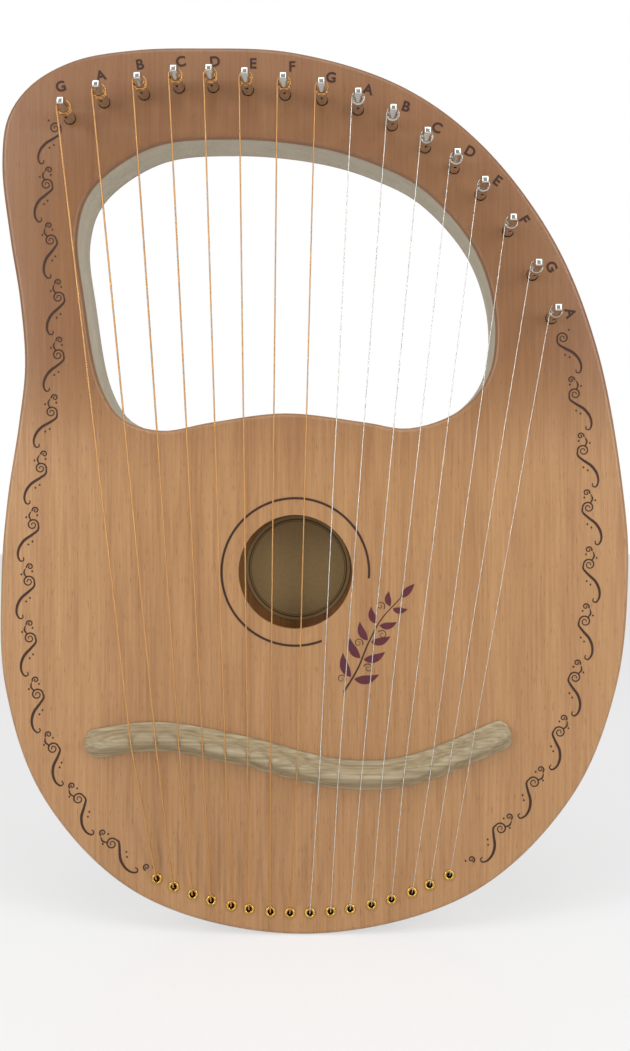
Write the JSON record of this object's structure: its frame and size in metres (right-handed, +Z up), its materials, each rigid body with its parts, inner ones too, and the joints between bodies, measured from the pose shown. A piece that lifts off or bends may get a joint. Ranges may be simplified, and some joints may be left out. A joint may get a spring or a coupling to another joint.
{
  "type": "lyre harp",
  "caption": "Flat wooden lyre harp with an arched window, a round sound hole, a curved bridge, tuning pins and wire strings.",
  "frame": {"origin": "on the flat back, straight behind the centre of the sound hole", "axes": "+Z up along the body towards the tuning pins, +Y out of the back, -Y towards the player's view of the strings, +X the viewer's right, treble side"},
  "size_m": [0.2929, 0.049, 0.4132],
  "materials": {
    "soundboard": "satin brown mahogany",
    "core_frame": "pale bare board",
    "back_plate": "satin brown mahogany",
    "brace": "bare spruce",
    "bridge": "bare grey-brown hardwood",
    "paper_label": "matte tan paper",
    "bronze_string": "bronze-wound wire",
    "steel_string": "plain steel wire",
    "eyelet": "polished brass",
    "tuning_pin": "bright nickel plate"
  },
  "bodies": {
    "harp": {"soundboard": "soundboard", "core_frame": "core_frame", "back_plate": "back_plate", "upper_brace": "brace", "lower_brace": "brace", "bridge": "bridge", "paper_label": "paper_label", "string_01": "bronze_string", "string_02": "bronze_string", "string_03": "bronze_string", "string_04": "bronze_string", "string_05": "bronze_string", "string_06": "bronze_string", "string_07": "bronze_string", "string_08": "bronze_string", "string_09": "steel_string", "string_10": "steel_string", "string_11": "steel_string", "string_12": "steel_string", "string_13": "steel_string", "string_14": "steel_string", "string_15": "steel_string", "string_16": "steel_string", "eyelet_01": "eyelet", "eyelet_02": "eyelet", "eyelet_03": "eyelet", "eyelet_04": "eyelet", "eyelet_05": "eyelet", "eyelet_06": "eyelet", "eyelet_07": "eyelet", "eyelet_08": "eyelet", "eyelet_09": "eyelet", "eyelet_10": "eyelet", "eyelet_11": "eyelet", "eyelet_12": "eyelet", "eyelet_13": "eyelet", "eyelet_14": "eyelet", "eyelet_15": "eyelet", "eyelet_16": "eyelet"},
    "pin_01": {"tuning_pin_01": "tuning_pin"},
    "pin_02": {"tuning_pin_02": "tuning_pin"},
    "pin_03": {"tuning_pin_03": "tuning_pin"},
    "pin_04": {"tuning_pin_04": "tuning_pin"},
    "pin_05": {"tuning_pin_05": "tuning_pin"},
    "pin_06": {"tuning_pin_06": "tuning_pin"},
    "pin_07": {"tuning_pin_07": "tuning_pin"},
    "pin_08": {"tuning_pin_08": "tuning_pin"},
    "pin_09": {"tuning_pin_09": "tuning_pin"},
    "pin_10": {"tuning_pin_10": "tuning_pin"},
    "pin_11": {"tuning_pin_11": "tuning_pin"},
    "pin_12": {"tuning_pin_12": "tuning_pin"},
    "pin_13": {"tuning_pin_13": "tuning_pin"},
    "pin_14": {"tuning_pin_14": "tuning_pin"},
    "pin_15": {"tuning_pin_15": "tuning_pin"},
    "pin_16": {"tuning_pin_16": "tuning_pin"}
  },
  "joints": [
    {"name": "pin_01_turn", "type": "hinge", "parent": "harp", "child": "pin_01", "pos_m": [-0.1048, -0.03, 0.2107], "axis": [0, 0.9925, -0.1219], "range_deg": [-1080, 60]},
    {"name": "pin_02_turn", "type": "hinge", "parent": "harp", "child": "pin_02", "pos_m": [-0.0888, -0.03, 0.2182], "axis": [0, 0.9925, -0.1219], "range_deg": [-1080, 60]},
    {"name": "pin_03_turn", "type": "hinge", "parent": "harp", "child": "pin_03", "pos_m": [-0.0703, -0.03, 0.2219], "axis": [0, 0.9925, -0.1219], "range_deg": [-1080, 60]},
    {"name": "pin_04_turn", "type": "hinge", "parent": "harp", "child": "pin_04", "pos_m": [-0.054, -0.03, 0.2251], "axis": [0, 0.9925, -0.1219], "range_deg": [-1080, 60]},
    {"name": "pin_05_turn", "type": "hinge", "parent": "harp", "child": "pin_05", "pos_m": [-0.0381, -0.03, 0.2254], "axis": [0, 0.9925, -0.1219], "range_deg": [-1080, 60]},
    {"name": "pin_06_turn", "type": "hinge", "parent": "harp", "child": "pin_06", "pos_m": [-0.022, -0.03, 0.224], "axis": [0, 0.9925, -0.1219], "range_deg": [-1080, 60]},
    {"name": "pin_07_turn", "type": "hinge", "parent": "harp", "child": "pin_07", "pos_m": [-0.0047, -0.03, 0.2218], "axis": [0, 0.9925, -0.1219], "range_deg": [-1080, 60]},
    {"name": "pin_08_turn", "type": "hinge", "parent": "harp", "child": "pin_08", "pos_m": [0.0125, -0.03, 0.2195], "axis": [0, 0.9925, -0.1219], "range_deg": [-1080, 60]},
    {"name": "pin_09_turn", "type": "hinge", "parent": "harp", "child": "pin_09", "pos_m": [0.0291, -0.03, 0.2149], "axis": [0, 0.9925, -0.1219], "range_deg": [-1080, 60]},
    {"name": "pin_10_turn", "type": "hinge", "parent": "harp", "child": "pin_10", "pos_m": [0.0449, -0.03, 0.2076], "axis": [0, 0.9925, -0.1219], "range_deg": [-1080, 60]},
    {"name": "pin_11_turn", "type": "hinge", "parent": "harp", "child": "pin_11", "pos_m": [0.0603, -0.03, 0.1973], "axis": [0, 0.9925, -0.1219], "range_deg": [-1080, 60]},
    {"name": "pin_12_turn", "type": "hinge", "parent": "harp", "child": "pin_12", "pos_m": [0.0737, -0.03, 0.1877], "axis": [0, 0.9925, -0.1219], "range_deg": [-1080, 60]},
    {"name": "pin_13_turn", "type": "hinge", "parent": "harp", "child": "pin_13", "pos_m": [0.0861, -0.03, 0.1753], "axis": [0, 0.9925, -0.1219], "range_deg": [-1080, 60]},
    {"name": "pin_14_turn", "type": "hinge", "parent": "harp", "child": "pin_14", "pos_m": [0.0988, -0.03, 0.1584], "axis": [0, 0.9925, -0.1219], "range_deg": [-1080, 60]},
    {"name": "pin_15_turn", "type": "hinge", "parent": "harp", "child": "pin_15", "pos_m": [0.1102, -0.03, 0.1381], "axis": [0, 0.9925, -0.1219], "range_deg": [-1080, 60]},
    {"name": "pin_16_turn", "type": "hinge", "parent": "harp", "child": "pin_16", "pos_m": [0.119, -0.03, 0.1179], "axis": [0, 0.9925, -0.1219], "range_deg": [-1080, 60]}
  ]
}
